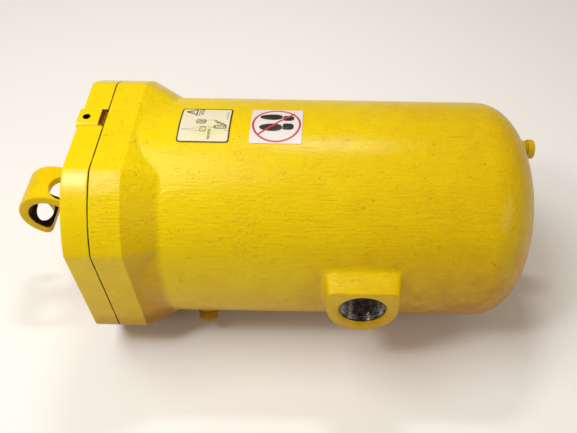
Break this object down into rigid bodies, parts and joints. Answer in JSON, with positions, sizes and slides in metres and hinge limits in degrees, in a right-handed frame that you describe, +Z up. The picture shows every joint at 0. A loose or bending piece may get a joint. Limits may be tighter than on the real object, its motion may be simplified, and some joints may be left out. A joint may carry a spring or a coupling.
{
  "type": "hydraulic reservoir",
  "caption": "Cylindrical oil tank with a domed end, square bolted cover, curled lifting eye, threaded outlet port, screwed plugs and a suction strainer with a bypass valve.",
  "frame": {"origin": "centre of the bounding box's bottom face, on the surface that the part lies on", "axes": "+X along the tank's axis from the cover to the domed end, -Y the way the outlet port faces, +Z up"},
  "size_m": [0.554, 0.2516, 0.2376],
  "materials": {
    "yellow_enamel": "glossy enamel over a rough casting",
    "black_rubber": "matt",
    "dark_steel": "blackened",
    "bright_steel": "plated",
    "copper_washer": "satin copper",
    "brass_screen": "woven wire",
    "cream_label": "printed film",
    "white_label": "printed film"
  },
  "bodies": {
    "tank": {"reservoir_body": "yellow_enamel", "end_cover": "yellow_enamel", "lifting_eye": "yellow_enamel", "cover_seal": "black_rubber", "cover_screw_1": "dark_steel", "cover_screw_2": "dark_steel", "cover_screw_3": "dark_steel", "cover_screw_4": "dark_steel", "vent_screw": "dark_steel", "caution_decal": "cream_label", "no_step_decal": "white_label", "strainer_nipple": "bright_steel", "strainer_base_cap": "bright_steel", "strainer_screen": "brass_screen", "strainer_core": "bright_steel", "strainer_end_block": "bright_steel", "bypass_retainer": "dark_steel", "bypass_spring": "dark_steel"},
    "poppet": {"bypass_poppet": "bright_steel"},
    "drain_slider": {"drain_washer": "copper_washer"},
    "drain_screw": {"drain_plug": "yellow_enamel"},
    "level_slider": {"level_washer": "copper_washer"},
    "level_screw": {"level_plug": "yellow_enamel"}
  },
  "joints": [
    {"name": "bypass_poppet_slide", "type": "slide", "parent": "tank", "child": "poppet", "axis": [0, 0, -1], "range_m": [0, 0.005], "stiffness_N_per_m": 400, "springref_m": -0.008, "deforming": ["bypass_spring"]},
    {"name": "drain_plug_withdraw", "type": "slide", "parent": "tank", "child": "drain_slider", "axis": [1, 0, 0], "range_m": [0, 0.015]},
    {"name": "drain_plug_turn", "type": "hinge", "parent": "drain_slider", "child": "drain_screw", "pos_m": [0.2695, 0.05492, 0.16417], "axis": [1, 0, 0], "range_deg": [0, 3600]},
    {"name": "level_plug_withdraw", "type": "slide", "parent": "tank", "child": "level_slider", "axis": [0, -0.7071, -0.7071], "range_m": [0, 0.012]},
    {"name": "level_plug_turn", "type": "hinge", "parent": "level_slider", "child": "level_screw", "pos_m": [-0.0765, -0.0766, 0.03265], "axis": [0, -0.7071, -0.7071], "range_deg": [0, 2880]}
  ],
  "couplings": [
    {"joint": "drain_plug_turn", "follows": "drain_plug_withdraw", "rad_per_m": 4188.8},
    {"joint": "level_plug_turn", "follows": "level_plug_withdraw", "rad_per_m": 4188.8}
  ]
}
